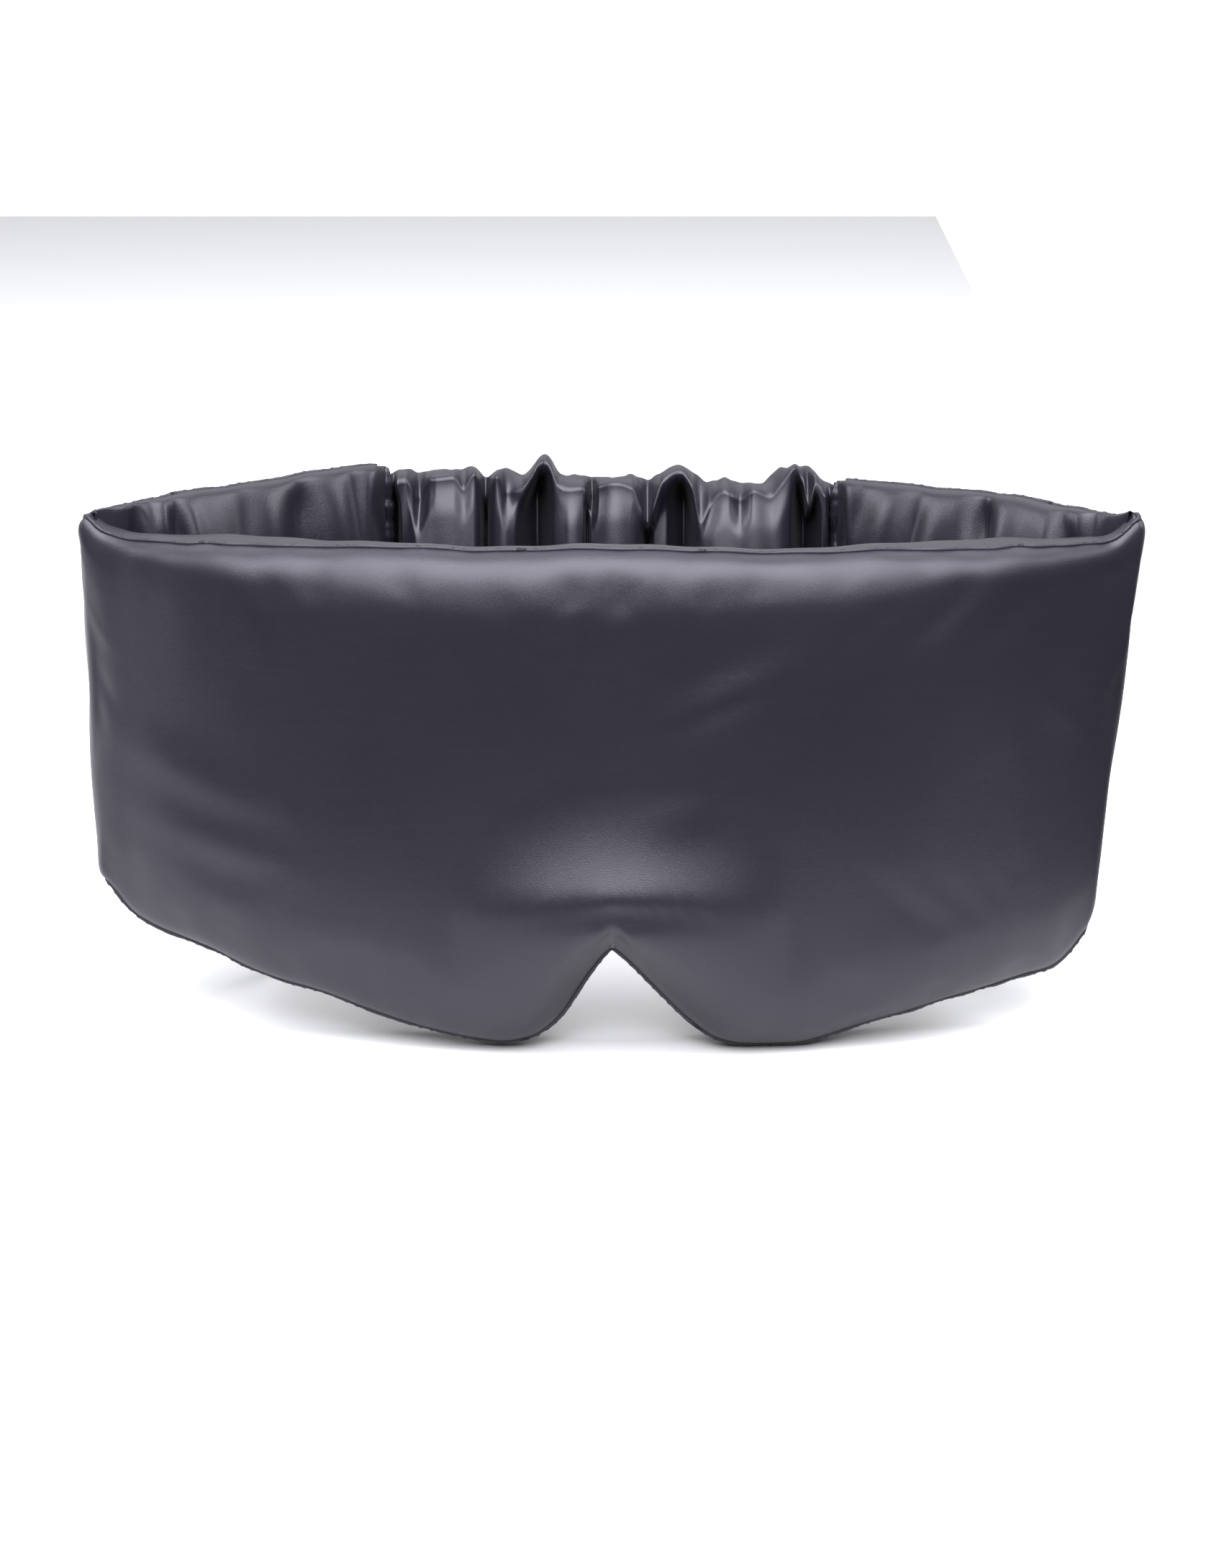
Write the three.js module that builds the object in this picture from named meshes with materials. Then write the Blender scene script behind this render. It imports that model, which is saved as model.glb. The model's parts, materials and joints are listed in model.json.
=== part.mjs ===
// Sleep eye mask: a padded satin front, two padded side wings and a ruched
// elastic band, closed into a loop. Millimetres, +Z up, front facing -Y,
// origin at the centre of the loop on the surface it stands on.
import * as THREE from 'three';

// ---- driving dimensions (mm) ----
const PLAN_CENTRE_Y = 32.6; // moves the plan below so the origin is mid-depth
const FOLD_X = 46; // cheek fold lines of the front pad
const CORNER = { x: 118, y: 18 }; // vertical seams between front pad and wings
const WING_END = { x: 54, y: 70 }; // vertical seams between wings and band
const FRONT_THICKNESS = 18;
const WING_THICKNESS = 10;
const WING_BOW = 2.5; // how far a wing bulges outwards at its middle
const SEAM_THICKNESS = 4.4; // pads thin down to this beside a vertical seam
const CLOTH = 0.8;
const GAP = 0.3; // clearance between neighbouring layers
const BLACKOUT = 0.6; // light-blocking layer behind the outer satin
const WELT_RADIUS = 1.2; // rolled vertical seams
const BAND_BOTTOM = 9;
const BAND_TOP = 118;
const BAND_HALF_DEPTH = 3.6;
const PLEAT_DEPTH = 1.5;
const PLEAT_PITCH = 6.6;
const BAND_SPLIT_X = 15; // from here to the middle the band moves with its centre
const ELASTIC_THICKNESS = 1.2;
const SEAM_PLANE = 0.35; // edge seam's distance behind the middle, as a share of half thickness

// Heights of the front pad's lower and upper edges along X (x, z). The nose
// notch is in the middle; the lobes either side of it reach the ground.
const LOWER_EDGE = [
  [-118, 40], [-112, 31], [-101, 25], [-85, 19], [-68, 13.5], [-52, 8], [-40, 3.5],
  [-28, 0], [-20, 1.6], [-14, 6.2], [-8, 14.5], [-3.5, 21.8], [0, 25], [4, 21.8], [10, 14.5],
  [17, 6.2], [24, 1.2], [32, 0], [42, 1], [56, 4.6], [75, 9], [96, 13.5], [106, 19.5],
  [112, 28], [118, 38],
];
const UPPER_EDGE = [
  [-118, 122], [-104, 119.2], [-60, 119.4], [0, 120], [60, 118.6], [100, 118.2], [118, 119.6],
];
// The same along a wing, from its corner (0) to its band end (1).
const WING_LOWER = [[0, 38], [0.25, 20], [0.5, 8], [0.75, 1.5], [0.9, 0], [1, 4]];
const WING_UPPER = [[0, 121], [0.3, 122.6], [0.7, 122], [1, 119]];

const SATIN = { color: 0x3b3a43, roughness: 0.42, metalness: 0 };
const LINING = { color: 0x46454e, roughness: 0.46, metalness: 0 };
const BLACKOUT_CLOTH = { color: 0x17171b, roughness: 0.9, metalness: 0 };
const WADDING = { color: 0xd9d8d4, roughness: 0.95, metalness: 0 };
const THREAD = { color: 0x26252c, roughness: 0.6, metalness: 0 };
const ELASTIC = { color: 0x1c1b20, roughness: 0.8, metalness: 0 };

const group = new THREE.Group();
group.name = 'sleep_eye_mask';

function addNode(name, geometry, look) {
  geometry.translate(0, -PLAN_CENTRE_Y, 0);
  geometry.computeVertexNormals();
  const mesh = new THREE.Mesh(geometry, new THREE.MeshStandardMaterial(look));
  mesh.name = name;
  group.add(mesh);
}

// Smooth value of a list of (place, value) pairs: a monotone cubic between them.
function profile(pairs, at) {
  const last = pairs.length - 1;
  const slope = (i) => (pairs[i + 1][1] - pairs[i][1]) / (pairs[i + 1][0] - pairs[i][0]);
  const tangent = (i) => {
    if (i === 0 || i === last) return slope(Math.min(i, last - 1));
    const before = slope(i - 1);
    const after = slope(i);
    return before * after <= 0 ? 0 : (2 * before * after) / (before + after);
  };
  let i = 0;
  while (i < last - 1 && at > pairs[i + 1][0]) i += 1;
  const width = pairs[i + 1][0] - pairs[i][0];
  const t = THREE.MathUtils.clamp((at - pairs[i][0]) / width, 0, 1);
  return (
    pairs[i][1] * (1 + 2 * t) * (1 - t) ** 2 +
    tangent(i) * width * t * (1 - t) ** 2 +
    pairs[i + 1][1] * t * t * (3 - 2 * t) +
    tangent(i + 1) * width * t * t * (t - 1)
  );
}

// ---- stations: where a pad's cross-section stands, and how large it is ----

// Depth of the front pad's middle surface: flat in the middle, swept back.
const frontDepth = (x) => CORNER.y * (Math.abs(x) / CORNER.x) ** 2.2;

// At a corner both pads stand outside the hinge line, so that they can fold flat.
const cornerOutset = (toSeam) => (SEAM_THICKNESS / 2) * (1 - THREE.MathUtils.smoothstep(toSeam, 0, 20));

function frontStation(x) {
  const step = 0.5;
  const run = new THREE.Vector2(2 * step, frontDepth(x + step) - frontDepth(x - step)).normalize();
  const inward = new THREE.Vector2(-run.y, run.x);
  const toSeam = CORNER.x - Math.abs(x);
  const swell = THREE.MathUtils.smoothstep(toSeam, -4, 34);
  return {
    at: new THREE.Vector2(x, frontDepth(x)).addScaledVector(inward, -cornerOutset(toSeam)),
    inward,
    half: THREE.MathUtils.lerp(SEAM_THICKNESS, FRONT_THICKNESS, swell) / 2,
    low: profile(LOWER_EDGE, x),
    high: profile(UPPER_EDGE, x),
    lean: (profile(LOWER_EDGE, x + step) - profile(LOWER_EDGE, x - step)) / (2 * step),
  };
}

const wingLength = Math.hypot(CORNER.x - WING_END.x, WING_END.y - CORNER.y);

// A wing's station; side is -1 for the left wing and +1 for the right one.
function wingStation(side, t) {
  const from = new THREE.Vector2(side * CORNER.x, CORNER.y);
  const to = new THREE.Vector2(side * WING_END.x, WING_END.y);
  const run = to.clone().sub(from).normalize();
  const inward = new THREE.Vector2(-side * run.y, side * run.x);
  const bow = WING_BOW * Math.sin(Math.PI * t) + cornerOutset(t * wingLength);
  const swell = Math.sin(Math.PI * t) ** 0.7;
  return {
    at: from.clone().lerp(to, t).addScaledVector(inward, -bow),
    inward,
    half: THREE.MathUtils.lerp(SEAM_THICKNESS, WING_THICKNESS, swell) / 2,
    low: profile(WING_LOWER, t),
    high: profile(WING_UPPER, t),
    lean: 0,
  };
}

// ---- closed bodies between two surfaces ----

// One point of a station: n is the distance inwards from the pad's middle surface.
function place(station, n, z) {
  return new THREE.Vector3(station.at.x + station.inward.x * n, station.at.y + station.inward.y * n, z);
}

// Half of a pad's rounded cross-section, from its lower to its upper edge.
// sign -1 is the outer half and +1 the inner half; inset is {n, z} inside the skin.
function halfSection(station, sign, inset, edge) {
  const steep = Math.hypot(1, station.lean);
  const n = station.half - inset.n;
  const low = station.low + inset.z * steep;
  const high = station.high - inset.z;
  const radius = Math.max(0.25, Math.min(station.half, 7.5) - Math.max(inset.n, inset.z));
  const bend = Math.min(radius, Math.abs(n - sign * edge) - 0.05);
  const tall = Math.min(radius, (high - low) / 3);
  const points = [place(station, edge, low)];
  const turns = [0, 30, 60, 90].map(THREE.MathUtils.degToRad);
  const across = (turn) => sign * (n - bend + bend * Math.sin(turn));
  for (const turn of turns) {
    points.push(place(station, across(turn), low + tall - tall * Math.cos(turn)));
  }
  for (const share of [1 / 3, 2 / 3]) {
    points.push(place(station, sign * n, THREE.MathUtils.lerp(low + tall, high - tall, share)));
  }
  for (const turn of turns.reverse()) {
    points.push(place(station, across(turn), high - tall + tall * Math.cos(turn)));
  }
  points.push(place(station, edge, high));
  return points;
}

// Closed body from rows of rings; every ring is one closed cross-section made of
// an outer line there and an inner line back, of the same number of points.
function slab(rows) {
  const count = rows[0].outer.length;
  const positions = [];
  for (const { outer, inner } of rows) {
    for (const p of [...outer, ...[...inner].reverse()]) positions.push(p.x, p.y, p.z);
  }
  const ring = 2 * count;
  const index = [];
  const quad = (a, b, c, d) => index.push(a, b, c, a, c, d);
  for (let r = 0; r < rows.length - 1; r += 1) {
    for (let k = 0; k < ring; k += 1) {
      const next = (k + 1) % ring;
      quad(r * ring + k, r * ring + next, (r + 1) * ring + next, (r + 1) * ring + k);
    }
  }
  const end = (rows.length - 1) * ring;
  for (let k = 0; k < count - 1; k += 1) {
    quad(k, ring - 1 - k, ring - 2 - k, k + 1);
    quad(end + k, end + k + 1, end + ring - 2 - k, end + ring - 1 - k);
  }
  return facingOut(positions, index);
}

// Indexed geometry, turned so that its faces point out of the body.
function facingOut(positions, index) {
  const corner = (i) => new THREE.Vector3().fromArray(positions, 3 * i);
  let volume = 0;
  for (let i = 0; i < index.length; i += 3) {
    const [a, b, c] = [index[i], index[i + 1], index[i + 2]].map(corner);
    volume += a.dot(b.cross(c));
  }
  if (volume < 0) {
    for (let i = 0; i < index.length; i += 3) {
      [index[i + 1], index[i + 2]] = [index[i + 2], index[i + 1]];
    }
  }
  const geometry = new THREE.BufferGeometry();
  geometry.setAttribute('position', new THREE.Float32BufferAttribute(positions, 3));
  geometry.setIndex(index);
  return geometry;
}

// ---- the layers of one pad ----

const skin = { n: 0, z: 0 };
const underCloth = { n: CLOTH, z: CLOTH };
const fillFront = { n: CLOTH + GAP + BLACKOUT + GAP, z: CLOTH + GAP };
const fillBack = { n: CLOTH + GAP, z: CLOTH + GAP };
const seamAt = (station) => SEAM_PLANE * station.half;

function outerCloth(stations) {
  const edge = (s) => seamAt(s) - 0.5;
  return slab(stations.map((s) => ({
    outer: halfSection(s, -1, skin, edge(s)),
    inner: halfSection(s, -1, underCloth, edge(s)),
  })));
}

function liningCloth(stations) {
  const edge = (s) => seamAt(s) + 0.5;
  return slab(stations.map((s) => ({
    outer: halfSection(s, 1, skin, edge(s)),
    inner: halfSection(s, 1, underCloth, edge(s)),
  })));
}

function wadding(stations, front) {
  return slab(stations.map((s) => ({
    outer: halfSection(s, -1, front, 0),
    inner: halfSection(s, 1, fillBack, 0),
  })));
}

function blackoutLayer(stations) {
  const line = (s, depth) => {
    const round = Math.min(s.half, 7.5) + 0.5;
    const low = s.low + round * Math.hypot(1, s.lean);
    return [low, s.high - round].map((z) => place(s, depth - s.half, z));
  };
  return slab(stations.map((s) => ({
    outer: line(s, CLOTH + GAP),
    inner: line(s, CLOTH + GAP + BLACKOUT),
  })));
}

// Thread line of the edge seam, on the upper or the lower edge of a pad.
function edgeThread(stations, upper) {
  return slab(stations.map((s) => {
    const steep = Math.hypot(1, s.lean);
    const rim = upper ? s.high : s.low;
    const inside = upper ? rim - 0.75 : rim + 0.75 * steep;
    return {
      outer: [rim, inside].map((z) => place(s, seamAt(s) - 0.2, z)),
      inner: [rim, inside].map((z) => place(s, seamAt(s) + 0.2, z)),
    };
  }));
}

// ---- stations of each pad ----

const between = (from, to, steps) =>
  Array.from({ length: steps + 1 }, (_, i) => THREE.MathUtils.lerp(from, to, i / steps));

const clearOfFold = 0.25;
const clearOfWelt = WELT_RADIUS + 0.4;
const centreStations = between(-FOLD_X + clearOfFold, FOLD_X - clearOfFold, 26).map(frontStation);
const cheekStations = (side) =>
  between(side * (FOLD_X + clearOfFold), side * (CORNER.x - clearOfWelt), 10).map(frontStation);
const wingStations = (side) =>
  between(clearOfWelt / wingLength, 1 - clearOfWelt / wingLength, 9).map((t) => wingStation(side, t));

function addFrontPad(part, stations) {
  addNode(`outer_satin_${part}`, outerCloth(stations), SATIN);
  addNode(`blackout_layer_${part}`, blackoutLayer(stations), BLACKOUT_CLOTH);
  addNode(`wadding_${part}`, wadding(stations, fillFront), WADDING);
  addNode(`lining_${part}`, liningCloth(stations), LINING);
  addNode(`edge_thread_top_${part}`, edgeThread(stations, true), THREAD);
  addNode(`edge_thread_bottom_${part}`, edgeThread(stations, false), THREAD);
}

function addWing(part, side) {
  const stations = wingStations(side);
  addNode(`wing_outer_${part}`, outerCloth(stations), SATIN);
  addNode(`wing_wadding_${part}`, wadding(stations, fillBack), WADDING);
  addNode(`wing_lining_${part}`, liningCloth(stations), LINING);
  addNode(`wing_thread_top_${part}`, edgeThread(stations, true), THREAD);
  addNode(`wing_thread_bottom_${part}`, edgeThread(stations, false), THREAD);
}

// Rolled vertical seam on a hinge line.
function welt(at, side, low, high) {
  const geometry = new THREE.CylinderGeometry(WELT_RADIUS, WELT_RADIUS, high - low, 12);
  geometry.rotateX(Math.PI / 2);
  geometry.translate(side * at.x, at.y, (low + high) / 2);
  return geometry;
}

// Short bar of stitches that gathers the pad above the nose notch.
function notchTack() {
  const geometry = new THREE.BoxGeometry(5, 0.6, 1.2);
  const apex = frontStation(0);
  geometry.translate(0, frontDepth(0) - apex.half - 0.3 - GAP, apex.low + 9);
  return geometry;
}

// ---- band ----

// Cross-section loop of the band's tube: half-depth d, between two heights.
function tubeLoop(x, d, low, high) {
  const y = WING_END.y;
  return [
    [y - d, low + d], [y - d, (low + high) / 2], [y - d, high - d], [y - 0.4 * d, high],
    [y + 0.4 * d, high], [y + d, high - d], [y + d, (low + high) / 2], [y + d, low + d],
    [y + 0.4 * d, low], [y - 0.4 * d, low],
  ].map(([py, pz]) => new THREE.Vector3(x, py, pz));
}

// Open-ended tube of cloth along X, gathered into vertical pleats.
function bandTube(from, to) {
  const steps = Math.round((4 * (to - from)) / PLEAT_PITCH);
  const rows = between(from, to, steps).map((x) => {
    const wave = Math.cos((2 * Math.PI * (x - from)) / PLEAT_PITCH);
    const taper = THREE.MathUtils.smoothstep(WING_END.x - Math.abs(x), 0, 9);
    const d = THREE.MathUtils.lerp(2.4, BAND_HALF_DEPTH - PLEAT_DEPTH * wave, taper);
    return { x, d };
  });
  const loops = rows.map(({ x, d }) => ({
    skin: tubeLoop(x, d, BAND_BOTTOM, BAND_TOP),
    bore: tubeLoop(x, d - CLOTH, BAND_BOTTOM + CLOTH, BAND_TOP - CLOTH),
  }));
  const count = loops[0].skin.length;
  const positions = loops.flatMap((l) => [...l.skin, ...l.bore].flatMap((p) => p.toArray()));
  const index = [];
  const quad = (a, b, c, d) => index.push(a, b, c, a, c, d);
  for (let r = 0; r < loops.length - 1; r += 1) {
    const row = 2 * count * r;
    const next = row + 2 * count;
    for (let k = 0; k < count; k += 1) {
      const q = (k + 1) % count;
      quad(row + k, row + q, next + q, next + k);
      quad(row + count + q, row + count + k, next + count + k, next + count + q);
    }
  }
  const end = 2 * count * (loops.length - 1);
  for (let k = 0; k < count; k += 1) {
    const q = (k + 1) % count;
    quad(k, count + k, count + q, q);
    quad(end + q, end + count + q, end + count + k, end + k);
  }
  return facingOut(positions, index);
}

// Flat knitted elastic inside the tube.
function elasticStrip(from, to) {
  const geometry = new THREE.BoxGeometry(
    Math.abs(to - from), ELASTIC_THICKNESS, BAND_TOP - BAND_BOTTOM - 2 * CLOTH - 2,
  );
  geometry.translate((from + to) / 2, WING_END.y, (BAND_TOP + BAND_BOTTOM) / 2);
  return geometry;
}

function addBandHalf(part, side) {
  const start = WING_END.x - clearOfWelt;
  const span = (from, to, make) => make(Math.min(side * from, side * to), Math.max(side * from, side * to));
  const middle = 0.2;
  addNode(`band_casing_${part}`, span(start, BAND_SPLIT_X + 0.2, bandTube), SATIN);
  addNode(`band_elastic_${part}`, span(start, BAND_SPLIT_X + 0.2, elasticStrip), ELASTIC);
  addNode(`band_casing_mid_${part}`, span(BAND_SPLIT_X - 0.2, middle, bandTube), SATIN);
  addNode(`band_elastic_mid_${part}`, span(BAND_SPLIT_X - 0.2, middle, elasticStrip), ELASTIC);
}

addFrontPad('centre', centreStations);
addNode('notch_tack', notchTack(), THREAD);
for (const [part, side] of [['left', -1], ['right', 1]]) {
  addFrontPad(part, cheekStations(side));
  addNode(`corner_seam_${part}`, welt(CORNER, side, 46.5, 117), THREAD);
  addWing(part, side);
  addNode(`band_seam_${part}`, welt(WING_END, side, BAND_BOTTOM - 1, BAND_TOP + 1), THREAD);
  addBandHalf(part, side);
}

export default group;
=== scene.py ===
"""Sleep eye mask: satin covers, lining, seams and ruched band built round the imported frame.

Lengths inside this script are millimetres, in the frame's axes; meshes are made in metres.
"""

import json

import bpy
import numpy as np
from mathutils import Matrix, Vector


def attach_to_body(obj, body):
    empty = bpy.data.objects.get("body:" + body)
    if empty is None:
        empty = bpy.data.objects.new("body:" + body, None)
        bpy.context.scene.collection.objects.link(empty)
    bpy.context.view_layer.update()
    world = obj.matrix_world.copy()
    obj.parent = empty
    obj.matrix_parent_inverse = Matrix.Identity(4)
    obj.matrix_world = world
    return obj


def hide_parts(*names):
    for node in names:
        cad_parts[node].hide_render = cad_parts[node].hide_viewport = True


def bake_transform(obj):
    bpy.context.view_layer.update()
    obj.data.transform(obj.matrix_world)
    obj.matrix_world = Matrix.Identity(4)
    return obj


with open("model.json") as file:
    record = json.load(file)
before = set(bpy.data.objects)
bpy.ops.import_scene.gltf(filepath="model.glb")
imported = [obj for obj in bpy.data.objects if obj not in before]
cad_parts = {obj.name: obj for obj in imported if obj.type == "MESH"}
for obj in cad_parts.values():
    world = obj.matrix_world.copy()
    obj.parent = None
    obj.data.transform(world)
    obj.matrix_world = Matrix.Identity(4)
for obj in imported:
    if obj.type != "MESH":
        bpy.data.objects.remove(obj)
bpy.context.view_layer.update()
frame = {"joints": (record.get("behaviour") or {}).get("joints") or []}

MM = 0.001
JOINTS = {j["name"]: j for j in frame["joints"]}


def hinge_place(name):
    """A hinge's place in plan, in millimetres."""
    return np.array(JOINTS[name]["pos_m"][:2]) / MM


# ---- driving sizes, from the frame's hinges ----
CORNER = hinge_place("wing_right_fold")
BAND_END = hinge_place("band_right_turn")
NOSE_Y = hinge_place("cheek_right_wrap")[1] - 2.27  # pad's middle surface at the nose
SWEEP = CORNER[1] - NOSE_Y  # how far the front sweeps back to its corners
TAPER_TOP = 118  # height at which the pad has its full width

# Lower and upper edges along the pad: (distance from the nose along the pad, height).
# Left side first; beyond the corner, at 121, they run along the wing.
LOWER_LEFT = [
    (0, 25.8), (2.4, 22.8), (5.4, 18.6), (8.5, 13.4), (11, 9.4), (14.4, 5.8), (19, 3), (25, 1.8),
    (33, 2.6), (43, 4.8), (56, 9), (74, 14), (91, 19.4), (107, 25), (115, 29), (121, 35),
    (126, 35), (150, 20), (170, 9), (190, 3.4), (202, 3), (211, 6),
]
LOWER_RIGHT = [
    (0, 25.8), (3.3, 22.8), (7.2, 18.6), (12, 13.4), (16, 9.2), (20.4, 5.4), (25, 2.4), (30, 1.2),
    (36, 0.9), (43, 1.3), (50, 2.6), (65, 5.8), (84, 9.6), (99, 12.4), (111, 14.6), (116, 18),
    (121, 24), (130, 30), (150, 20), (170, 9), (190, 3.4), (202, 3), (211, 6),
]
UPPER_LEFT = [
    (0, 118.8), (40, 118.8), (90, 117.6), (110, 117.6), (116, 119), (121, 122.4), (132, 122.4),
    (195, 122.6), (211, 121.5),
]
UPPER_RIGHT = [
    (0, 118.8), (40, 117.8), (90, 117), (110, 116.8), (116, 117.6), (121, 120.6), (150, 120.4),
    (180, 120), (211, 118),
]
TAPER_LEFT, TAPER_RIGHT = 0.02, 0.09  # how much narrower the pad is at its lower edge

FRONT_OUT, FRONT_IN = 9.6, 8.4  # swell of the front pad to each side of its middle surface
CORNER_OUT, CORNER_IN = 3.4, 0.5
WING_OUT, WING_IN = 5.2, 8.4
WING_BOW = 2.5  # how far a wing bulges outward from the line between its seams
# Distances from an edge to full thickness.
FRONT_TOP_ROUND, FRONT_LOW_ROUND, NOTCH_ROUND, CORNER_ROUND = 12.5, 21.0, 10.0, 5.0
WING_ROUND, WING_LINING_ROUND = 13.0, 24.0
SEAM_AHEAD = 1.2  # the edge seam runs this far in front of the front's middle surface
END_ROUND = 9.0
COVER_ROWS, LINING_ROWS = 44, 36

# Upright creases of the wings' linings: (distance past the corner, width, depth, slant).
CREASES = {
    -1: [
        (9, 1.7, 3.6, 0.02), (21, 1.8, 3.8, -0.03), (36, 4, 1.3, 0.1), (54, 4.5, 3.2, 0.05),
        (70, 4, 1.4, 0),
    ],
    1: [
        (9, 2.2, 3.0, 0.3), (36, 2.6, 4.0, 0.12), (47, 6, 1.3, -0.2), (59, 3.4, 2.4, -0.15),
        (72, 4, 1.2, 0),
    ],
}


def ease(t):
    """Smooth step from 0 to 1."""
    t = np.clip(t, 0, 1)
    return t * t * (3 - 2 * t)


def bell(t):
    """1 at 0, fading to nothing on both sides."""
    return np.exp(-t * t)


def through(pairs, at):
    """Smooth curve through (place, value) pairs that doesn't overshoot them."""
    x, y = np.array(pairs, float).T
    slope = np.diff(y) / np.diff(x)
    before, after = slope[:-1], slope[1:]
    same_way = before * after > 0
    inner = np.where(same_way, 2 * before * after / np.where(same_way, before + after, 1), 0)
    tangent = np.concatenate([[slope[0]], inner, [slope[-1]]])
    i = np.clip(np.searchsorted(x, at) - 1, 0, len(x) - 2)
    width = x[i + 1] - x[i]
    t = np.clip((at - x[i]) / width, 0, 1)
    return (
        y[i] * (1 + 2 * t) * (1 - t) ** 2
        + tangent[i] * width * t * (1 - t) ** 2
        + y[i + 1] * t * t * (3 - 2 * t)
        + tangent[i + 1] * width * t * t * (t - 1)
    )


def smooth_noise(seed, *coordinates):
    """Sum of a few sines of random direction: smooth, mostly between -1 and 1."""
    rng = np.random.default_rng(seed)
    total = 0
    for _ in range(6):
        angle = rng.uniform(0, 2 * np.pi)
        phase = sum(c * rng.normal() for c in coordinates)
        total = total + np.sin(2 * np.pi * phase + angle)
    return total / 3.2


# ---- the pad's path in plan ----
class Path:
    """Stations along the pad from the left band seam to the right one."""

    def __init__(self):
        half = self.half()
        mirrored = {k: v[:0:-1].copy() for k, v in half.items()}
        mirrored["along"] *= -1
        mirrored["at"][:, 0] *= -1
        mirrored["inward"][:, 0] *= -1
        for key, right in half.items():
            setattr(self, key, np.concatenate([mirrored[key], right]))
        self.end = self.along[-1]
        self.corner = (self.front_end + self.wing_start) / 2

    def half(self):
        """Stations of the right half: the front, the fan round the corner, the wing."""
        x = np.concatenate([np.linspace(0, 24, 17)[:-1], np.linspace(24, CORNER[0] - 0.5, 40)])
        front = np.stack([x, self.depth(x)], 1)
        slope = (self.depth(x + 0.1) - self.depth(x - 0.1)) / 0.2
        front_in = np.stack([-slope, np.ones_like(slope)], 1)
        run = BAND_END - CORNER
        wing_length = np.hypot(*run)
        run = run / wing_length
        wing_in = np.array([-run[1], run[0]])
        t = np.linspace(0.5, wing_length, 54) / wing_length
        bow = WING_BOW * np.sin(np.pi * t)
        wing = CORNER + np.outer(t * wing_length, run) - np.outer(bow, wing_in)
        turn_from = np.arctan2(*front_in[-1][::-1])
        turn_to = np.arctan2(*wing_in[::-1]) % (2 * np.pi)
        turns = np.linspace(turn_from, turn_to, 11)[1:-1]
        fan_in = np.stack([np.cos(turns), np.sin(turns)], 1)
        fan = np.repeat(CORNER[None], len(turns), 0)
        front_along = np.concatenate([[0], np.cumsum(np.hypot(*np.diff(front, axis=0).T))])
        fan_length = (turn_to - turn_from) * CORNER_OUT
        fan_along = front_along[-1] + np.arange(1, 10) / 10 * fan_length
        self.front_end, self.wing_start = front_along[-1], front_along[-1] + fan_length
        normals = np.concatenate([front_in, fan_in, np.repeat(wing_in[None], len(t), 0)])
        return {
            "at": np.concatenate([front, fan, wing]),
            "inward": normals / np.linalg.norm(normals, axis=1)[:, None],
            "along": np.concatenate([front_along, fan_along, self.wing_start + t * wing_length]),
        }

    @staticmethod
    def depth(x):
        """The front's middle surface in plan, as y at x."""
        return NOSE_Y + SWEEP * (np.abs(x) / CORNER[0]) ** 2.2

    def edges(self, along):
        """Heights of the lower and the upper edge at signed distances along the pad."""
        far = np.abs(along)
        low = np.where(along < 0, through(LOWER_LEFT, far), through(LOWER_RIGHT, far))
        high = np.where(along < 0, through(UPPER_LEFT, far), through(UPPER_RIGHT, far))
        bunched = bell((far - self.corner) / 12)
        high = high + 0.4 * smooth_noise(2, along / 40) + 1.1 * bunched * smooth_noise(4, along / 13)
        low = low + 0.7 * smooth_noise(7, along / 34) * ease((far - 30) / 20)
        return low, high

    def swell(self, along):
        """Thickness of the pad to the outer and the inner side of its path."""
        far = np.abs(along)
        to_corner = self.front_end - far
        past_corner = far - self.wing_start
        front_out = CORNER_OUT + (FRONT_OUT - CORNER_OUT) * ease(to_corner / 42) ** 0.6
        wing_out = CORNER_OUT + (WING_OUT - CORNER_OUT) * ease(past_corner / 25)
        front_in = CORNER_IN + (FRONT_IN - CORNER_IN) * ease(to_corner / 36)
        wing_in = CORNER_IN + (WING_IN - CORNER_IN) * ease(past_corner / 24)
        on_wing = past_corner > 0
        between = (to_corner <= 0) & ~on_wing
        out = np.where(on_wing, wing_out, np.where(between, CORNER_OUT, front_out))
        inner = np.where(on_wing, wing_in, np.where(between, CORNER_IN, front_in))
        return out, inner


PATH = Path()
NOTCH_TOP = PATH.edges(np.zeros(1))[0][0]


def rim_distance(along, z, upper):
    """Distance on the flattened pad from each point to the upper or the lower edge."""
    dense = np.linspace(-PATH.end, PATH.end, 1400)
    rim = PATH.edges(dense)[1 if upper else 0]
    flat_along, flat_z = along.ravel(), z.ravel()
    nearest = np.empty_like(flat_z)
    for start in range(0, len(flat_z), 2000):
        part = slice(start, start + 2000)
        gap = (flat_along[part, None] - dense) ** 2 + (flat_z[part, None] - rim) ** 2
        nearest[part] = np.sqrt(gap.min(1))
    return nearest.reshape(z.shape)


def rounded(distance, reach):
    """Share of full thickness at a distance from an edge."""
    t = np.clip(distance / reach, 0, 1)
    return np.sqrt(1 - (1 - t) ** 2.6)


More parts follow.
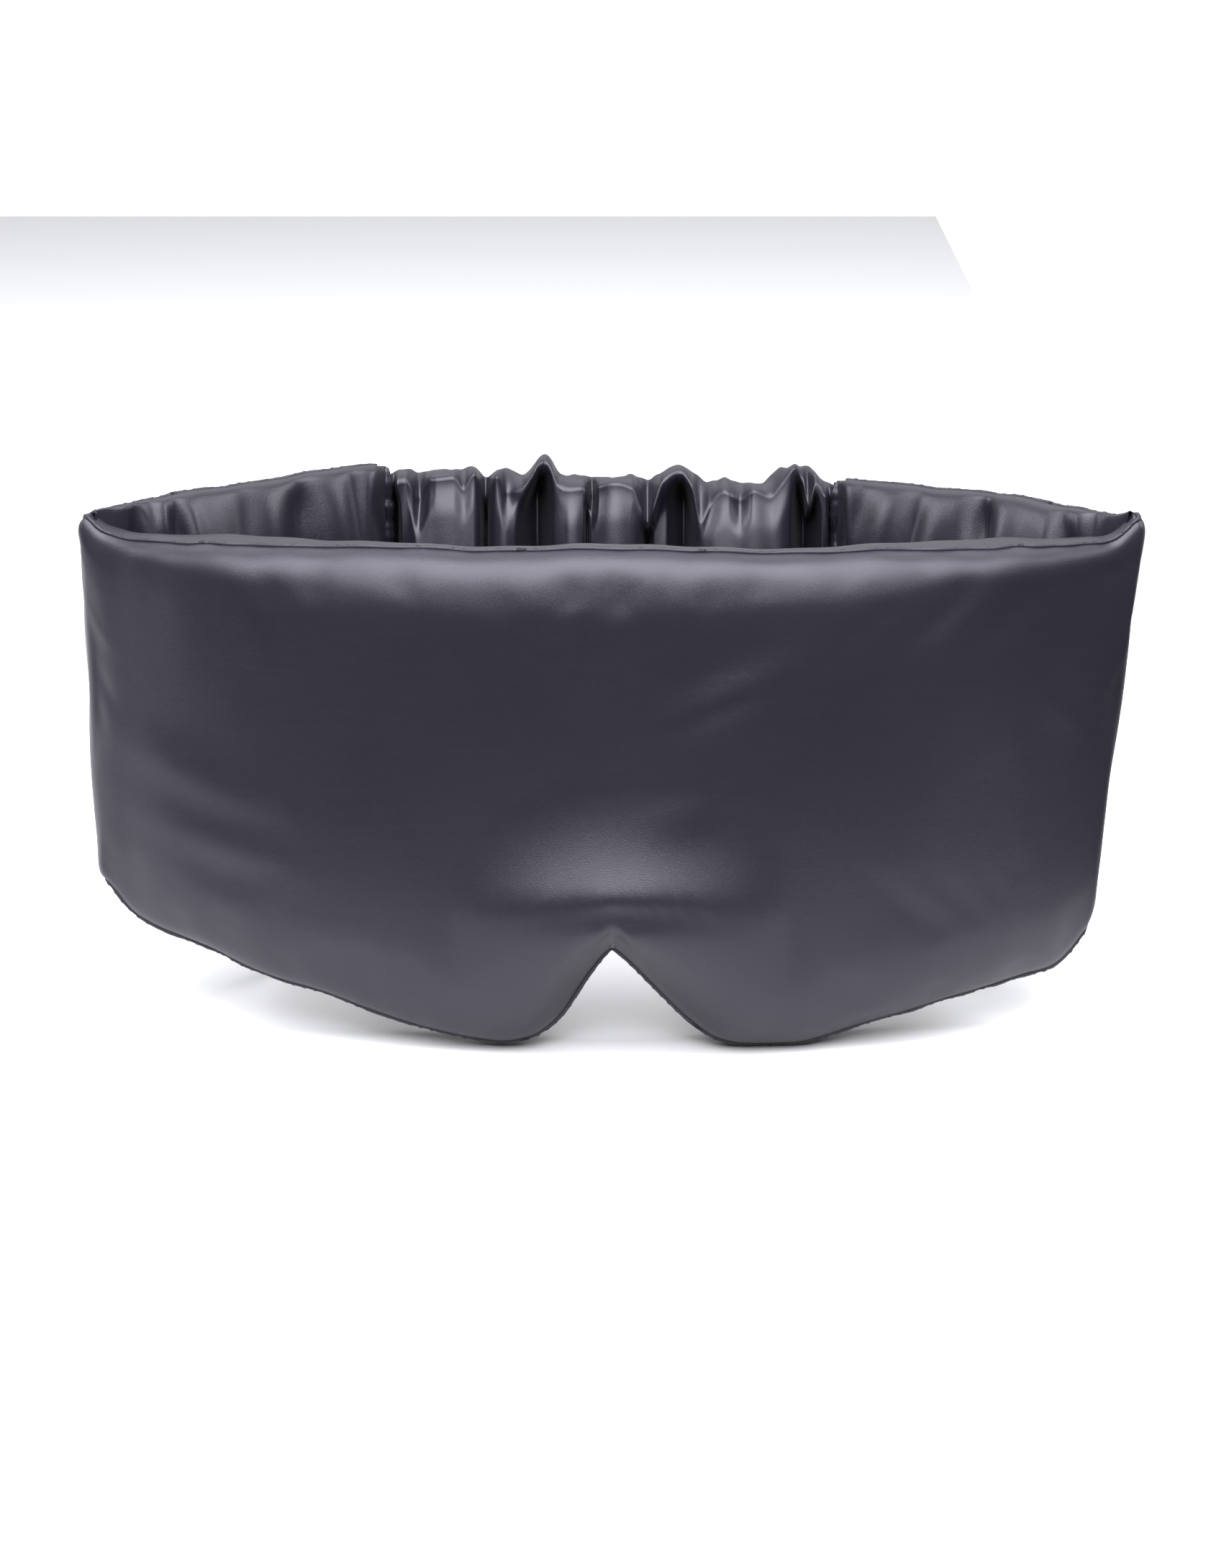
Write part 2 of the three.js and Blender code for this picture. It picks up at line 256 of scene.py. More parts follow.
def nose_relief(along, z):
    """Outward relief above the nose notch: a domed ledge over a crease, ridges and the pinch."""
    side = np.clip(np.abs(along - 2) / 39, 0, 1)
    crest = NOTCH_TOP + 14.8 - 4.2 * side**2
    above = z - crest
    tall = 3 + 24 * np.sqrt(1 - side**2)
    slope_up = np.clip(1 - above / tall, 0, 1) ** 1.7
    ledge = 8.4 * (1 - side**2) ** 1.1 * np.where(above > 0, slope_up, 1 - ease(-above / 40))
    crease = -1.5 * bell((along - 5) / 17) * bell((above + 3) / 2.4)
    below = NOTCH_TOP + 10 - z
    reach = ease(below / 5)
    ridges = 1.5 * bell((np.abs(along - 0.4) - 2 - 0.3 * np.maximum(below, 0)) / 1.9) * reach
    pinch = -1.7 * bell((along - 0.4) / 1.6) * reach
    return ledge + crease + (ridges + pinch) * bell(np.maximum(below - 10, 0) / 6)


def soft_dents(along, z):
    """Shallow dents and low folds of the front."""
    slanted = (z - 86) - 0.42 * (along - 25)
    lift = 1.3 * bell(slanted / 4.6) * bell((along - 25) / 13)
    low_fold = 0.8 * bell((z - 60 - 0.2 * (along - 18)) / 3.5) * bell((along - 18) / 9)
    broad = 0.55 * smooth_noise(3, along / 90, z / 70)
    left_fold = 0.6 * bell((z - 64 + 0.35 * (along + 92)) / 5.5) * bell((along + 92) / 20)
    left_low = 0.5 * bell((z - 49 + 0.25 * (along + 88)) / 4.5) * bell((along + 90) / 18)
    right_fold = 0.9 * bell((z - 80 + 0.6 * (along - 106)) / 6) * bell((along - 106) / 10)
    return lift + low_fold + broad + left_fold + left_low + right_fold


def edge_puckers(along, upper_gap, lower_gap, seed, size):
    """Small gathers that run in from the edge seams and fade."""
    near = np.exp(-upper_gap / 9) + np.exp(-lower_gap / 9)
    return size * near * (smooth_noise(seed, along / 34) + smooth_noise(seed + 1, along / 17))


def wing_creases(along, z):
    """Upright folds of the wings' linings, with the cloth puffed between them."""
    total = np.zeros_like(z)
    for way, creases in CREASES.items():
        past = way * along - PATH.wing_start
        for place, width, depth, slant in creases:
            off = past - place - slant * (z - 95)
            total = total - depth * (1 + (off / width) ** 2) ** -1.5
            total = total + 0.3 * depth * bell((np.abs(off) - 2.2 * width) / (1.2 * width))
    return total


def lining_bunch(along, z, up):
    """Cloth bunched inside the corners, most at the upper edge; never negative."""
    far = np.abs(along) - PATH.corner
    near = 1.6 * bell(far / 5) + 3.6 * bell(far / 17)
    folds = smooth_noise(11, along / 15, z / 60) + 0.6 * smooth_noise(12, along / 8, z / 30)
    return near * (0.3 + 0.7 * bell(up / 24)) * np.clip(0.55 + 0.5 * folds, 0.1, 1.2)


def corner_room(along):
    """Room on the inner side of the corner folds before the two linings would touch."""
    to_fold = np.maximum(PATH.front_end - np.abs(along), np.abs(along) - PATH.wing_start)
    return np.where(to_fold > 0, 0.5 + 0.36 * np.maximum(to_fold, 0), 1.6)


def lip_over(gap, reach=2.6):
    """Cloth rising beside an edge seam: 0 at the seam, 1 at the reach, then fading."""
    return gap / reach * np.exp(1 - gap / reach)


def pad_grid(rows, outer):
    """Grid of points (column, row, xyz) of the pad's outer or inner side, top to bottom."""
    share = np.linspace(0, 1, rows)
    share = 0.4 * share + 0.6 * (0.5 - 0.5 * np.cos(np.pi * share))
    low, high = PATH.edges(PATH.along)
    z = high[:, None] + (low - high)[:, None] * share
    along = np.repeat(PATH.along[:, None], rows, 1)
    up, down = rim_distance(along, z, True), rim_distance(along, z, False)
    ends = PATH.end - np.abs(along)
    rim = np.minimum(np.minimum(up, down), ends)
    on_wing = ease((np.abs(along) - PATH.wing_start + 10) / 20)
    at_notch = bell(np.hypot(along, z - NOTCH_TOP) / 15)
    at_corner = bell((np.abs(along) - PATH.corner) / 13)
    wing_round = WING_ROUND if outer else WING_LINING_ROUND
    top_round = FRONT_TOP_ROUND * (1 - 0.5 * ease((np.abs(along) - 45) / 55))
    top_round = top_round + (wing_round - top_round) * on_wing
    low_round = FRONT_LOW_ROUND + (NOTCH_ROUND - FRONT_LOW_ROUND) * at_notch
    low_round = low_round + (wing_round - low_round) * on_wing
    top_round = top_round + (CORNER_ROUND - top_round) * at_corner
    low_round = low_round + (CORNER_ROUND - low_round) * at_corner
    full = rounded(up, top_round) * rounded(down, low_round) * rounded(ends, END_ROUND)
    thickness = PATH.swell(along)[0 if outer else 1]
    seam = -SEAM_AHEAD * (1 - on_wing) * (1 - full)
    relief = edge_puckers(along, up, down, 5 if outer else 6, 0.3)
    if outer:
        relief = relief + nose_relief(along, z) + soft_dents(along, z) * (1 - on_wing)
        relief = relief + 0.7 * on_wing * smooth_noise(21, along / 70, z / 60)
    else:
        relief = relief + 0.6 * smooth_noise(8, along / 80, z / 60)
        relief = relief + wing_creases(along, z) * on_wing
    rise = thickness * full + relief * ease(rim / 9)
    if not outer:
        rise = np.maximum(rise, 0.15) + lining_bunch(along, z, up) * ease(ends / 20) * rounded(up, 4)
        rise = np.minimum(np.minimum(rise, corner_room(along)), 0.4 + 0.8 * ends)
    inward = seam - rise if outer else seam + rise
    strip = ease((np.abs(along) - 40) / 40)
    lip = (0.2 if outer else 1.9 + 0.9 * strip + 0.7 * at_corner) * rounded(ends, 6)
    z = z + lip * lip_over(up) - 0.9 * lip * lip_over(down)
    plan = PATH.at[:, None] + PATH.inward[:, None] * inward[..., None]
    to_corner = np.clip(np.minimum(np.abs(along) / PATH.corner, ends / (PATH.end - PATH.corner)), 0, 1)
    taper = np.where(along < 0, TAPER_LEFT, TAPER_RIGHT) * (1 - z / TAPER_TOP) * to_corner
    plan[..., 0] *= 1 - taper
    return np.concatenate([plan, z[..., None]], 2)


# ---- mesh helpers ----
def new_object(name, points, faces, uvs=None):
    """Object from points in millimetres; uvs is one (u, v) per point, in metres of cloth."""
    mesh = bpy.data.meshes.new(name)
    mesh.from_pydata((np.asarray(points) * MM).tolist(), [], [list(map(int, f)) for f in faces])
    if uvs is not None:
        layer = mesh.uv_layers.new(name="cloth")
        corners = np.empty(len(mesh.loops), int)
        mesh.loops.foreach_get("vertex_index", corners)
        layer.data.foreach_set("uv", np.asarray(uvs)[corners].astype(np.float32).ravel())
    mesh.polygons.foreach_set("use_smooth", [True] * len(mesh.polygons))
    mesh.update()
    obj = bpy.data.objects.new(name, mesh)
    bpy.context.scene.collection.objects.link(obj)
    return obj


def grid_faces(columns, rows, closed=False, flip=False):
    """Quads of a grid whose points run down each column; closed joins the last row to the first."""
    faces = []
    for i in range(columns - 1):
        for j in range(rows if closed else rows - 1):
            k = (j + 1) % rows
            a, b = i * rows + j, i * rows + k
            face = (a, b, b + rows, a + rows)
            faces.append(face[::-1] if flip else face)
    return faces


class Solids:
    """Several closed bodies gathered into one mesh."""

    def __init__(self):
        self.points, self.faces, self.uvs, self.count = [], [], [], 0

    def tube(self, line, radii, outward, sides=8, uv_scale=1.0):
        """Round tube along a line of points, closed at both ends."""
        line = np.asarray(line, float)
        step = np.gradient(line, axis=0)
        step /= np.linalg.norm(step, axis=1)[:, None]
        up = outward - step * (outward * step).sum(1)[:, None]
        up /= np.linalg.norm(up, axis=1)[:, None]
        across = np.cross(step, up)
        turn = np.linspace(0, 2 * np.pi, sides, endpoint=False)
        radii = np.broadcast_to(radii, len(line))[:, None, None]
        cosine, sine = np.cos(turn)[None, :, None], np.sin(turn)[None, :, None]
        ring = cosine * up[:, None] + sine * across[:, None]
        points = (line[:, None] + radii * ring).reshape(-1, 3)
        quads = grid_faces(len(line), sides, closed=True)
        faces = [tuple(i + self.count for i in f) for f in quads]
        last = self.count + (len(line) - 1) * sides
        faces.append(tuple(self.count + k for k in range(sides))[::-1])
        faces.append(tuple(last + k for k in range(sides)))
        run = np.concatenate([[0], np.cumsum(np.linalg.norm(np.diff(line, axis=0), axis=1))])
        uv = np.stack(np.broadcast_arrays(run[:, None] * uv_scale, turn[None] * 0.6), 2)
        self.points.append(points)
        self.faces += faces
        self.uvs.append(uv.reshape(-1, 2))
        self.count += len(points)

    def build(self, name):
        return new_object(name, np.concatenate(self.points), self.faces, np.concatenate(self.uvs) * MM)


# ---- the pad: one closed skin, cut into pieces afterwards ----
SEGMENTS = {  # name: (from, to) along the pad
    "wing_left": (-999, -150), "corner_left": (-150, -92), "left": (-92, -20), "centre": (-20, 20),
    "right": (20, 92), "corner_right": (92, 150), "wing_right": (150, 999),
}
SIDES = ("cover", "lining")
PIECES = [(side, segment) for side in SIDES for segment in SEGMENTS]


def segment_at(along):
    """Name of the segment at a distance along the pad."""
    return next(name for name, (a, b) in SEGMENTS.items() if a <= along < b)


def closed_skin():
    """The whole pad as one closed skin, each face marked with the piece it belongs to."""
    outer = pad_grid(COVER_ROWS, True)
    inner = pad_grid(LINING_ROWS, False)
    ring = np.concatenate([outer, inner[:, -2:0:-1]], 1)
    columns, rows = ring.shape[:2]
    low, high = PATH.edges(PATH.along)
    share = np.concatenate([np.linspace(0, 1, COVER_ROWS), np.linspace(1, 0, LINING_ROWS)[1:-1]])
    v = high[:, None] + (low - high)[:, None] * share
    uvs = np.stack([np.repeat(PATH.along[:, None], rows, 1), v], 2).reshape(-1, 2) * MM
    skin = new_object("pad_skin", ring.reshape(-1, 3), grid_faces(columns, rows, closed=True), uvs)
    middles = (PATH.along[:-1] + PATH.along[1:]) / 2
    marks = [
        PIECES.index((SIDES[j >= COVER_ROWS - 1], segment_at(middle)))
        for middle in middles
        for j in range(rows)
    ]
    skin.data.attributes.new("piece", "INT", "FACE").data.foreach_set("value", marks)
    number = np.arange(columns * rows).reshape(columns, rows)
    sewn = {*number[:, 0], *number[:, COVER_ROWS - 1]}
    crease = [float(set(edge.vertices) <= sewn) for edge in skin.data.edges]
    skin.data.attributes.new("crease_edge", "FLOAT", "EDGE").data.foreach_set("value", crease)
    held = sewn | set(number[0]) | set(number[-1])
    return skin, sorted(int(i) for i in held)


def lining_share():
    """How far each vertex of the skin is cut as slack as the lining of a corner: 0 to 1."""
    rows = COVER_ROWS + LINING_ROWS - 2
    far = np.abs(PATH.along)
    by_column = 0.35 + 0.65 * ease((far - 70) / 40)
    weights = np.zeros((len(PATH.along), rows))
    weights[:, COVER_ROWS:] = by_column[:, None]
    return weights.ravel()


def away_from_seams():
    """0 at the edge seams, 1 some rows away from them, for each vertex of the skin."""
    row = np.arange(COVER_ROWS + LINING_ROWS - 2)
    gap = np.minimum(np.abs(row - (COVER_ROWS - 1)), np.minimum(row, len(row) - row))
    on_cover = row < COVER_ROWS
    return np.tile(ease(gap / np.where(on_cover, 9, 3)), len(PATH.along))


SIM_FRAMES, SIM_QUALITY = 20, 5
SIM_PRESSURE, SIM_BENDING = 3.0, 0.8
COVER_SLACK, LINING_SLACK = 0.003, 0.045  # how much longer each is cut than the space it fills
COVER_CAP, LINING_CAP = 0.6, 2.2  # greatest movement, in millimetres
LEDGE_HEIGHT, LEDGE_REACH = NOTCH_TOP + 16, 28  # the ledge over the notch keeps its shape


def settle(skin, held):
    """Cloth simulation: the skin, cut a little slack, is pushed out by its filling and creases."""
    scene = bpy.context.scene
    group = skin.vertex_groups.new(name="sewn")
    group.add(held, 1.0, "REPLACE")
    slack = skin.vertex_groups.new(name="slack")
    for vertex, weight in enumerate(lining_share()):
        slack.add([vertex], float(weight), "REPLACE")
    rest = np.empty(len(skin.data.vertices) * 3)
    skin.data.vertices.foreach_get("co", rest)
    cloth = skin.modifiers.new("cloth", "CLOTH")
    fabric = cloth.settings
    fabric.quality = SIM_QUALITY
    fabric.mass = 0.2
    fabric.tension_stiffness = 40
    fabric.compression_stiffness = 40
    fabric.shear_stiffness = 10
    fabric.bending_stiffness = SIM_BENDING
    fabric.use_pressure = True
    fabric.uniform_pressure_force = SIM_PRESSURE
    fabric.vertex_group_shrink = slack.name
    fabric.shrink_min, fabric.shrink_max = -COVER_SLACK, -LINING_SLACK
    fabric.effector_weights.gravity = 0
    fabric.vertex_group_mass = group.name
    cloth.point_cache.frame_start, cloth.point_cache.frame_end = 1, SIM_FRAMES
    for step in range(1, SIM_FRAMES + 1):
        scene.frame_set(step)
    settled = skin.evaluated_get(bpy.context.evaluated_depsgraph_get()).data
    moved = np.empty_like(rest)
    settled.vertices.foreach_get("co", moved)
    scene.frame_set(1)
    skin.modifiers.remove(cloth)
    move = (moved - rest).reshape(-1, 3)
    length = np.linalg.norm(move, axis=1)[:, None]
    cap = (COVER_CAP + (LINING_CAP - COVER_CAP) * lining_share())[:, None] * MM
    from_ledge = np.hypot(rest[0::3], rest[2::3] - LEDGE_HEIGHT * MM)
    freedom = away_from_seams() * (1 - bell(from_ledge / (LEDGE_REACH * MM)))
    move *= np.minimum(1, cap / np.maximum(length, 1e-9)) * freedom[:, None]
    skin.data.vertices.foreach_set("co", rest + move.ravel())
    skin.data.update()


def smoothed(skin):
    """One subdivision of the skin, crisp along its seams; arrays of the finer mesh."""
    modifier = skin.modifiers.new("smooth", "SUBSURF")
    modifier.levels = 1
    modifier.uv_smooth = "PRESERVE_BOUNDARIES"
    evaluated = skin.evaluated_get(bpy.context.evaluated_depsgraph_get())
    fine = bpy.data.meshes.new_from_object(evaluated)
    marks = np.empty(len(fine.polygons), int)
    fine.attributes["piece"].data.foreach_get("value", marks)
    quads = np.empty(len(fine.loops), int)
    fine.loops.foreach_get("vertex_index", quads)
    co = np.empty(len(fine.vertices) * 3)
    fine.vertices.foreach_get("co", co)
    uv = np.empty(len(fine.loops) * 2)
    fine.uv_layers[0].data.foreach_get("uv", uv)
    bpy.data.objects.remove(skin)
    return co.reshape(-1, 3) / MM, quads.reshape(-1, 4), uv.reshape(-1, 4, 2), marks


def corner_normals(co, quads):
    """Area-weighted vertex normals of the given faces."""
    corners = co[quads]
    face = np.cross(corners[:, 2] - corners[:, 0], corners[:, 3] - corners[:, 1])
    normals = np.zeros((len(co), 3))
    for k in range(4):
        np.add.at(normals, quads[:, k], face)
    return normals / np.maximum(np.linalg.norm(normals, axis=1), 1e-12)[:, None]


class Pad:
    """The finished skin of the pad: its pieces, and the lines of its edge seams."""

    def __init__(self):
        skin, held = closed_skin()
        settle(skin, held)
        self.co, self.quads, self.uv, self.marks = smoothed(skin)
        self.is_cover = self.marks < len(SEGMENTS)
        self.normals = {
            "cover": corner_normals(self.co, self.quads[self.is_cover]),
            "lining": corner_normals(self.co, self.quads[~self.is_cover]),
        }
        self.along = np.zeros(len(self.co))
        self.along[self.quads.ravel()] = self.uv.reshape(-1, 2)[:, 0] / MM

    def cut(self, key):
        """One piece, with the whole side's normals so that no join shows."""
        chosen = self.marks == PIECES.index(key)
        used, index = np.unique(self.quads[chosen], return_inverse=True)
        side, segment = key
        obj = new_object(f"{'satin' if side == 'cover' else 'lining'}_{segment}", self.co[used],
                         index.reshape(-1, 4))
        layer = obj.data.uv_layers.new(name="cloth")
        layer.data.foreach_set("uv", self.uv[chosen].astype(np.float32).ravel())
        obj.data.normals_split_custom_set_from_vertices(self.normals[side][used].tolist())
        return obj

    def seam(self, upper):
        """Points and outward directions along the upper or the lower edge seam, left to right."""
        cover, lining = (set(self.quads[mask].ravel()) for mask in (self.is_cover, ~self.is_cover))
        shared = np.array(sorted(cover & lining))
        low, high = PATH.edges(self.along[shared])
        shared = shared[(self.co[shared, 2] > (low + high) / 2) == upper]
        shared = shared[np.argsort(self.along[shared])]
        outward = self.normals["cover"][shared] + self.normals["lining"][shared]
        return self.co[shared], outward, self.along[shared]

    def upright(self, along):
        """Points and outward directions down the cover at one distance along the pad."""
        column = np.unique(self.quads[self.is_cover])
        places = np.unique(self.along[column].round(3))
        nearest = places[np.argmin(np.abs(places - along))]
        chosen = column[np.abs(self.along[column] - nearest) < 0.01]
        chosen = chosen[np.argsort(self.co[chosen, 2])]
        return self.co[chosen], self.normals["cover"][chosen]


# ---- seams ----
SEAM_ROLL = 0.55  # radius of the rolled allowance that shows in an edge seam
SEAM_LAP = 1.6  # how far a segment's seam runs on into the next segment
SEAM_END = 2.0  # the edge seams stop this far from the band seams
STITCH_PITCH, STITCH_RADIUS = 2.6, 0.15


def stitches(solids, line, outward, lift):
    """Row of short thread stitches along a line, just proud of it."""
    run = np.concatenate([[0], np.cumsum(np.linalg.norm(np.diff(line, axis=0), axis=1))])
    outward = outward / np.linalg.norm(outward, axis=1)[:, None]
    for start in np.arange(0.3 * STITCH_PITCH, run[-1] - STITCH_PITCH, STITCH_PITCH):
        at = start + np.linspace(0, 0.66 * STITCH_PITCH, 5)
        points = np.stack([np.interp(at, run, line[:, k]) for k in range(3)], 1)
        away = np.stack([np.interp(at, run, outward[:, k]) for k in range(3)], 1)
        dip = np.array([-0.35, 0, 0.06, 0, -0.35])
        thin = STITCH_RADIUS * np.array([0.55, 0.95, 1, 0.95, 0.55])
        solids.tube(points + away * (lift + dip)[:, None], thin, away, sides=6)


def edge_seams(pad, segment):
    """The rolled allowance and the thread of one segment's upper and lower edge seams."""
    rolls, threads = Solids(), Solids()
    begin, end = SEGMENTS[segment]
    for upper in (True, False):
        line, outward, along = pad.seam(upper)
        inside = (along >= begin - SEAM_LAP) & (along <= end + SEAM_LAP)
        inside &= np.abs(along) < PATH.end - SEAM_END
        line, outward = line[inside], outward[inside]
        radii = SEAM_ROLL * (1 + 0.18 * smooth_noise(61, along[inside] / 9))
        rolls.tube(line, radii, outward)
        stitches(threads, line, outward, 0.8 * SEAM_ROLL)
    return rolls.build(f"edge_seam_{segment}"), threads.build(f"edge_stitches_{segment}")


def corner_seam(pad, way):
    """Upright seam where a wing joins the front, just behind the corner."""
    line, outward = pad.upright(way * (PATH.wing_start + 2.4))
    rolls, threads = Solids(), Solids()
    rolls.tube(line[3:-3] - 0.1 * outward[3:-3], 0.5, outward[3:-3])
    stitches(threads, line[3:-3], outward[3:-3], 0.42)
    name = "left" if way < 0 else "right"
    return rolls.build(f"corner_roll_{name}"), threads.build(f"corner_stitches_{name}")


def band_welt(way):
    """Rolled upright seam where the band's casing joins a wing, with its gathers."""
    low, high = PATH.edges(np.array([way * (PATH.end - 1)]))
    z = np.linspace(low[0] + 1, high[0] - 0.6, 120)
    wander = 0.5 * smooth_noise(71 + way, z / 18)
    line = np.stack([way * (BAND_END[0] + 0.1) + 0 * z, BAND_END[1] + wander, z], 1)
    radii = 1.5 + 0.3 * smooth_noise(73 + way, z / 7) + 0.15 * np.sin(2 * np.pi * z / 2.6)
    radii *= 0.45 + 0.55 * ease(np.minimum(z - z[0], z[-1] - z) / 3)
    welt = Solids()
    welt.tube(line, radii, np.tile([0.0, -1.0, 0.0], (len(z), 1)), sides=14)
    return welt.build(f"band_welt_{'left' if way < 0 else 'right'}")


def notch_stitches(pad):
    """Two small hand stitches over the edge at the top of the nose notch."""
    line, _ = pad.upright(0)
    threads = Solids()
    for place in (-0.5, 0.9):
        rise = np.linspace(-0.9, 1.1, 7)
        height = NOTCH_TOP + 0.5 + rise
        front = np.interp(height, line[:, 2], line[:, 1]) - 0.1
        points = np.stack([place + 0.15 * rise, front, height], 1)
        threads.tube(points, 0.2, np.tile([0.0, -1.0, 0.0], (7, 1)), sides=8)
    return threads.build("notch_stitches")


# ---- the ruched band ----
BAND_LOW = 9.0  # height of its lower edge
BAND_LEAN = 6.0  # how far its upper edge leans back
BAND_LAP = 1.4  # how far it runs on into each wing
CASING_BACK = 4.6  # swell of the outer face behind the band's middle
CASING_ROLL = 1.2  # radius of the casing's folded upper and lower edges
CASING_ROWS, CASING_COLUMNS = 50, 230
GATHER = 1.8  # cloth across the band for each millimetre of its length
# The inner face's meander: (place across the band, how far behind its middle), first low down,
# then at the upper edge. Panels stand forward, deep folds go back between them.
MEANDER_LOW = [
    (-56, 1), (-54, 5), (-52.2, 9), (-50.4, -3.5), (-46, -6.4), (-39, -6.8), (-33, -6), (-31.7, -4),
    (-30.4, 8), (-29.1, -4), (-26, -6.4), (-23.4, -5), (-18, 10), (-13.6, -4), (-10, -6.6),
    (-6.8, -5.6), (-5.9, 1.5),
    (-5, -5.4), (0, -7.2), (4.6, -6.4), (6.8, -4), (8.6, 6.5), (10.2, -0.5), (13, -1), (17.6, 9), (20.4, -4),
    (25, -6.6), (34, -7), (39, -6.4), (42.6, -4.6), (46.6, 10), (50.4, -3), (51.4, -4.6), (52.6, 4),
    (54, 6), (56, 1),
]
MEANDER_HIGH = [
    (-56, 1), (-54, 1), (-52.6, 2), (-51, -4), (-48, -4.6), (-46, -2.4), (-42, -5.4), (-37, -5), (-33, -5),
    (-30.4, 0.5), (-27.6, -5), (-25, -2.6), (-21.6, -4.4), (-18.6, -4.8), (-16, -2.6),
    (-13.6, -4.6), (-10, -5),
    (-6.4, -4.6), (-4.6, 0.4), (-3, -4.6), (1, -5.6), (4.6, -5.4), (7, -5.4), (8.6, -3.4),
    (10.2, -5.4), (13, -4.6),
    (16.4, -3), (19.6, -5), (21.6, -5.6), (24, -4.6), (28, -5.4), (31, -3.4), (34, -5.4), (38, -5),
    (43, -4.6), (45.4, -2.4), (48, -5), (51, -3.8), (52.6, 1), (54, 1), (56, 1),
]
OUTER_FOLDS = [  # (place, width)
    (-48, 1.8), (-38, 1.5), (-28.6, 2.6), (-18, 1.4), (-10, 1.6), (2.5, 2.8), (13, 1.3), (22, 1.9),
    (33, 2.6), (42, 1.4), (50, 1.7),
]
# Heights of the inner face's upper edge, which dips between the panels, and of the outer one's.
INNER_RIM = [
    (-56, 118), (-52, 118.6), (-49.4, 119), (-46.4, 114.6), (-43.4, 119.4), (-38, 119.8), (-35.4, 117.2),
    (-33, 120.6), (-30.4, 115), (-27.4, 120), (-25.4, 116), (-22, 116.6), (-19, 120.4), (-17.6, 122.6),
    (-16.2, 123), (-14.8, 121.8), (-13, 118), (-11, 117), (-7, 117.2), (-5, 114.4), (-3, 117.6),
    (1, 118.6), (5, 117.4), (7.2, 112),
    (8.6, 109.6), (10, 113), (12.4, 119), (16.4, 120.8), (19.2, 118), (21.4, 109.6), (23.6, 113), (27, 116.4),
    (31, 114.4), (34, 116.8), (38, 115.4), (41, 118.4), (44, 121.8), (46.2, 118), (47.2, 113.6), (49, 118.4),
    (51.6, 115.4), (56, 116),
]
OUTER_RIM = [
    (-56, 119.6), (-50, 120.4), (-46.5, 119.4), (-40, 119.6), (-34, 120.6), (-30.5, 118.6), (-25.5, 120.2),
    (-21.5, 118.6), (-18.4, 121.6), (-16.4, 123.2), (-14.4, 122), (-12, 119), (-8, 118.6), (-5, 118),
    (0, 118), (4, 118.6), (8.6, 118),
    (12.5, 119.6), (16, 120.6), (19.5, 119.4), (23, 117.6), (27, 117.8), (31, 116.8), (36, 116.8),
    (41.5, 120.6),
    (44, 120.4), (47.5, 121), (50.5, 118), (56, 117),
]


def casing_inner(x, share):
    """Places of the casing's inner face behind the band's middle, at (x, height share)."""
    low, high = through(MEANDER_LOW, x), through(MEANDER_HIGH, x)
    back = low + (high - low) * ease((share - 0.925) / 0.07)
    ripples = 0.3 * smooth_noise(42, x / 16, share * 1.6)
    calm = 0.35 * ease((0.8 - share) / 0.5)
    at_foot = 1 - 0.5 * ease((0.2 - share) / 0.2)
    # Panels stand forward less near the wings, whose linings come close as they turn.
    seam_room = 0.8 + 0.8 * np.maximum(BAND_END[0] - np.abs(x), 0)
    return np.maximum((back * (1 - calm) + ripples) * at_foot, -seam_room)


def casing_outer(x, share, inner):
    """Places of its outer face, which stays behind the inner one."""
    swell = CASING_BACK + 0.9 * smooth_noise(51, x / 30, share * 1.4)
    for place, width in OUTER_FOLDS:
        wander = 2.2 * smooth_noise(int(100 + place), share * 0.9)
        swell = swell * (1 - 0.75 * bell((x - place - wander) / width))
    pinched = 1 - 0.4 * ease((share - 0.8) / 0.2) - 0.4 * ease((0.2 - share) / 0.2)
    own = 1.2 + swell * pinched
    return np.maximum(own, inner + 1.5)


def over_edge(a, b, mid):
    """Values across a rolled edge, from the last of face a to the last of face b."""
    return a[:, -1:] + (b[:, -1:] - a[:, -1:]) * mid


def casing_ring(x):
    """Cross-sections of the casing at places x across the band: (column, row, xyz)."""
    roll = CASING_ROLL
    share = np.linspace(0, 1, CASING_ROWS)[None]
    share = 1 - (1 - share) ** 1.5
    at_ends = ease((BAND_END[0] + BAND_LAP - np.abs(x)) / 4)
    inner = casing_inner(x, share)
    outer = casing_outer(x, share, inner)
    middle = (inner + outer) / 2
    half = 1.0 + (outer - inner - 2.0) / 2 * at_ends
    inner, outer = middle * at_ends - half, middle * at_ends + half
    bottom = BAND_LOW + roll + 0.8 * smooth_noise(47, x / 14) + 0.5 * smooth_noise(48, x / 6)
    z_in = bottom + (through(INNER_RIM, x) - roll - bottom) * share
    z_out = bottom + (through(OUTER_RIM, x) + 0.25 * smooth_noise(46, x / 4) - roll - bottom) * share
    turn = np.linspace(0, np.pi, 9)[1:-1][None]
    mid = 0.5 - 0.5 * np.cos(turn)
    rise = roll * np.sin(turn)
    y_foot = over_edge(outer[:, ::-1], inner[:, ::-1], mid)
    z_foot = over_edge(z_out[:, ::-1], z_in[:, ::-1], mid) - rise
    y = np.concatenate([inner, over_edge(inner, outer, mid), outer[:, ::-1], y_foot], 1)
    z = np.concatenate([z_in, over_edge(z_in, z_out, mid) + rise, z_out[:, ::-1], z_foot], 1)
    leaning = ease((BAND_END[0] - np.abs(x)) / 6) * ease((z - 92) / 34)
    y = y + BAND_END[1] + BAND_LEAN * leaning
    return np.stack([np.broadcast_to(x, y.shape), y, z], 2)


